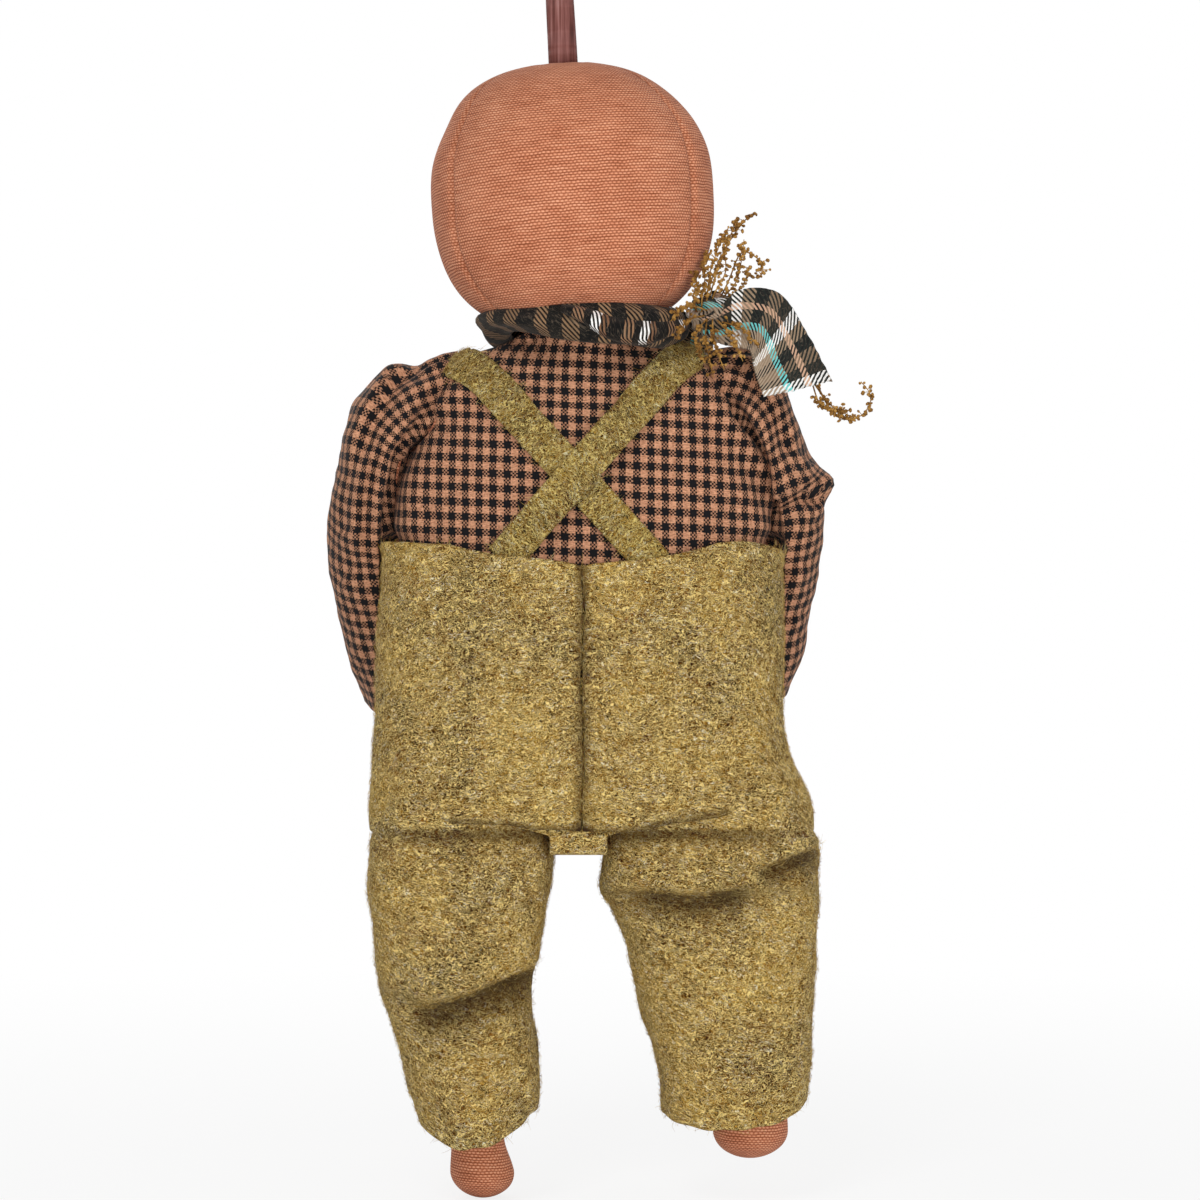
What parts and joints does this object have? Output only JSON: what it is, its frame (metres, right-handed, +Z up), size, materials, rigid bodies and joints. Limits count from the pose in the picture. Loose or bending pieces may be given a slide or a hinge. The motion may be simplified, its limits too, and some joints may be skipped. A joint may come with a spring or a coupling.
{
  "type": "stuffed cloth doll",
  "caption": "Stuffed pumpkin-head cloth doll in a check shirt and felt overalls, with a neck scarf, dried sprigs and arms and legs that swing.",
  "frame": {"origin": "middle of the flat seat between the legs, on the doll's middle plane", "axes": "+Z up through the head, -Y the way the doll faces, +X the doll's left"},
  "size_m": [0.2089, 0.1144, 0.4597],
  "materials": {
    "linen": "rust-orange plain-weave linen",
    "stuffing": "loose polyester fill",
    "stem_wood": "stained, unvarnished",
    "button_wood": "black, satin",
    "black_felt": "black wool felt",
    "check_cotton": "homespun check cotton, black and tan",
    "felt": "heathered olive wool felt",
    "strap_felt": "heathered olive wool felt",
    "plaid_flannel": "brushed plaid flannel",
    "dried_sprig": "dried plant, matt"
  },
  "bodies": {
    "torso": {"body_cover": "linen", "body_stuffing": "stuffing", "shirt_body": "check_cotton", "overalls_left": "felt", "overalls_right": "felt", "bib": "felt", "left_strap": "strap_felt", "right_strap": "strap_felt", "left_strap_button": "button_wood", "right_strap_button": "button_wood", "scarf_band": "plaid_flannel", "scarf_knot": "plaid_flannel", "scarf_tail_back": "plaid_flannel", "scarf_tail_front": "plaid_flannel", "sprig_upper": "dried_sprig", "sprig_lower": "dried_sprig", "sprig_curl": "dried_sprig"},
    "head": {"head_cover": "linen", "head_stuffing": "stuffing", "stem": "stem_wood", "left_eye": "button_wood", "right_eye": "button_wood", "nose": "black_felt"},
    "left_arm": {"left_sleeve": "check_cotton", "left_arm_cover": "linen", "left_arm_stuffing": "stuffing"},
    "right_arm": {"right_sleeve": "check_cotton", "right_arm_cover": "linen", "right_arm_stuffing": "stuffing"},
    "left_leg": {"left_trouser": "felt", "left_leg_cover": "linen", "left_leg_stuffing": "stuffing"},
    "right_leg": {"right_trouser": "felt", "right_leg_cover": "linen", "right_leg_stuffing": "stuffing"}
  },
  "joints": [
    {"name": "head_turn", "type": "hinge", "parent": "torso", "child": "head", "pos_m": [0.0012, 0, 0.197], "axis": [0.0523, 0, 0.9986], "range_deg": [-20, 20], "stiffness_Nm_per_rad": 0.06},
    {"name": "left_shoulder", "type": "hinge", "parent": "torso", "child": "left_arm", "pos_m": [0.0715, -0.004, 0.176], "axis": [-1, 0, 0], "range_deg": [0, 110]},
    {"name": "right_shoulder", "type": "hinge", "parent": "torso", "child": "right_arm", "pos_m": [-0.0715, -0.004, 0.176], "axis": [-1, 0, 0], "range_deg": [0, 110]},
    {"name": "left_hip", "type": "hinge", "parent": "torso", "child": "left_leg", "pos_m": [0.0463, 0, 0.009], "axis": [-1, 0, 0], "range_deg": [-15, 90]},
    {"name": "right_hip", "type": "hinge", "parent": "torso", "child": "right_leg", "pos_m": [-0.0489, 0, 0.009], "axis": [-1, 0, 0], "range_deg": [-15, 90]}
  ]
}
